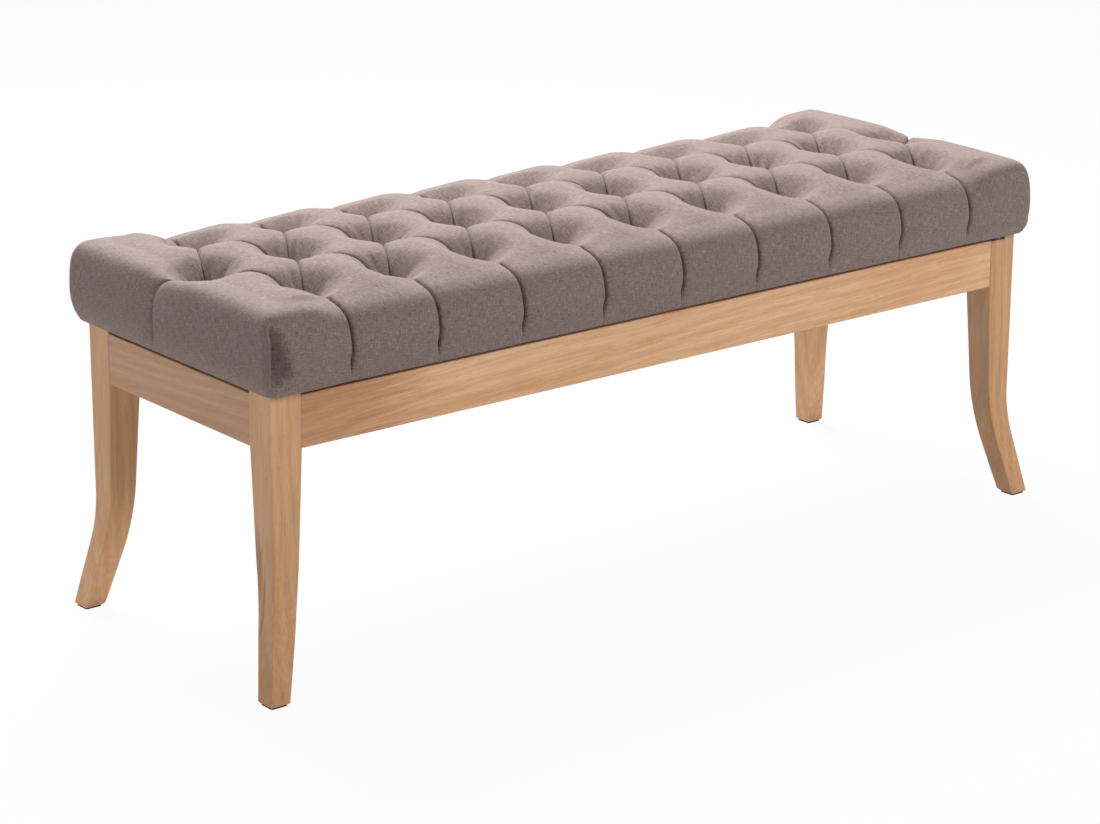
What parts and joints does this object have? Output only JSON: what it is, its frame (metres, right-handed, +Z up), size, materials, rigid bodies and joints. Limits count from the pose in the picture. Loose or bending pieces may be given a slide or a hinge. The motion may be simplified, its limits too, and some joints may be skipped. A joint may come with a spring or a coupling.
{
  "type": "upholstered bench",
  "caption": "Long backless bench: a deep-tufted cloth seat with folded pleats on a light wooden frame with aprons and tapered legs that flare outward at the foot.",
  "frame": {"origin": "on the floor, under the middle of the bench", "axes": "+X along the bench to its right end, +Y from the front to the back, +Z up"},
  "size_m": [1.2064, 0.4204, 0.463],
  "materials": {
    "frame_wood": "clear satin lacquer on light hardwood",
    "block_wood": "planed, unfinished",
    "plywood": "raw plywood",
    "linen_cloth": "woven taupe upholstery cloth",
    "padding": "foam with polyester wadding",
    "twine": "waxed twine",
    "dust_cloth": "black non-woven cloth",
    "zinc_steel": "zinc plated",
    "glide": "black stick-on pad"
  },
  "bodies": {
    "root": {"leg_front_left": "frame_wood", "corner_block_front_left": "block_wood", "glide_front_left": "glide", "leg_front_right": "frame_wood", "corner_block_front_right": "block_wood", "glide_front_right": "glide", "leg_back_left": "frame_wood", "corner_block_back_left": "block_wood", "glide_back_left": "glide", "leg_back_right": "frame_wood", "corner_block_back_right": "block_wood", "glide_back_right": "glide", "apron_front": "frame_wood", "apron_back": "frame_wood", "apron_left": "frame_wood", "apron_right": "frame_wood", "cross_rail_left": "block_wood", "cross_rail_right": "block_wood", "rail_dowels": "block_wood", "hanger_bolts": "zinc_steel", "hanger_washers": "zinc_steel", "hanger_nuts": "zinc_steel", "block_screws": "zinc_steel", "seat_screws": "zinc_steel", "notch_bolt": "zinc_steel", "seat_board": "plywood", "foam_pad": "padding", "tuft_twines": "twine", "dust_cover": "dust_cloth", "seat_cover": "linen_cloth"}
  },
  "joints": []
}
